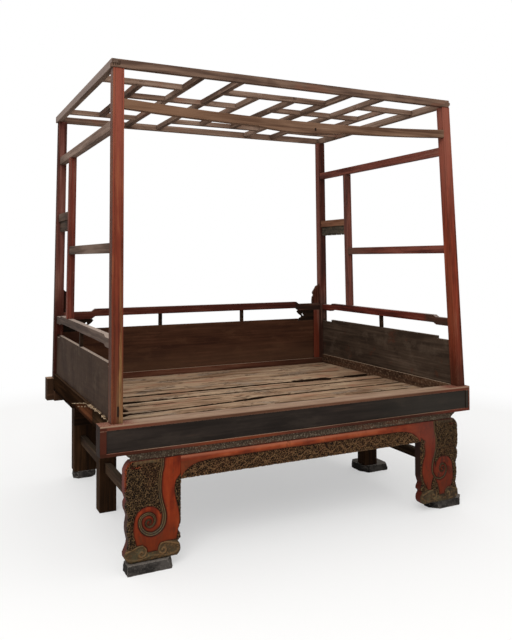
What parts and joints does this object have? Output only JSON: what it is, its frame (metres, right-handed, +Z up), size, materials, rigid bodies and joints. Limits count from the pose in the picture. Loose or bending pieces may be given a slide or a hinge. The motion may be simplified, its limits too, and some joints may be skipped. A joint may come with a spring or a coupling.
{
  "type": "canopy bed",
  "caption": "Lacquered wooden canopy bed with leaning corner posts, an open lattice roof, a plank deck, low walls on the back and sides, and a carved front base.",
  "frame": {"origin": "on the floor, under the middle of the bed's bounding box", "axes": "+X along the bed to the right as seen from its front, +Y from the front to the back, +Z up"},
  "size_m": [2.07, 1.487, 2.266],
  "materials": {
    "post_lacquer": "worn satin red-brown lacquer",
    "rail_lacquer": "worn satin red-brown lacquer",
    "wall_lacquer": "dull dark lacquer",
    "canopy_wood": "weathered bare wood",
    "sill_lacquer": "dark lacquer with a worn pale top",
    "deck_wood": "dry bare wood",
    "carved_lacquer": "worn red lacquer over carving",
    "base_wood": "dull dark wood",
    "block_wood": "dark rough wood"
  },
  "bodies": {
    "root": {"back_handrail": "wall_lacquer", "back_left_bracket": "wall_lacquer", "back_left_ear": "wall_lacquer", "back_panel": "wall_lacquer", "back_right_bracket": "wall_lacquer", "back_right_ear": "wall_lacquer", "base_rear_rail": "base_wood", "carved_apron": "carved_lacquer", "deck_bearers": "deck_wood", "deck_plank_1": "deck_wood", "deck_plank_2": "deck_wood", "deck_plank_3": "deck_wood", "deck_plank_4": "deck_wood", "deck_plank_5": "deck_wood", "foot_blocks": "block_wood", "front_left_post": "post_lacquer", "front_right_post": "post_lacquer", "front_sill": "sill_lacquer", "front_upper_rail": "rail_lacquer", "handrail_struts": "wall_lacquer", "left_base_rail": "base_wood", "left_carved_leg": "carved_lacquer", "left_handrail": "wall_lacquer", "left_middle_leg": "base_wood", "left_middle_rail": "rail_lacquer", "left_panel": "wall_lacquer", "left_rear_leg": "base_wood", "left_short_rail": "rail_lacquer", "left_side_post": "post_lacquer", "left_sill": "sill_lacquer", "left_skirt": "rail_lacquer", "left_stretcher": "base_wood", "left_upper_rail": "rail_lacquer", "rear_left_post": "post_lacquer", "rear_right_post": "post_lacquer", "rear_sill": "sill_lacquer", "right_base_rail": "base_wood", "right_carved_leg": "carved_lacquer", "right_handrail": "wall_lacquer", "right_middle_leg": "base_wood", "right_middle_rail": "rail_lacquer", "right_panel": "wall_lacquer", "right_rear_leg": "base_wood", "right_short_rail": "rail_lacquer", "right_side_post": "post_lacquer", "right_sill": "sill_lacquer", "right_skirt": "rail_lacquer", "right_stretcher": "base_wood", "right_upper_rail": "rail_lacquer", "roof_centre_row_bars": "canopy_wood", "roof_front_rail": "canopy_wood", "roof_left_rail": "canopy_wood", "roof_long_bars": "canopy_wood", "roof_middle_row_bars": "canopy_wood", "roof_outer_row_bars": "canopy_wood", "roof_rear_rail": "canopy_wood", "roof_right_rail": "canopy_wood", "roof_short_bars": "canopy_wood", "waist_strip": "carved_lacquer"}
  },
  "joints": []
}
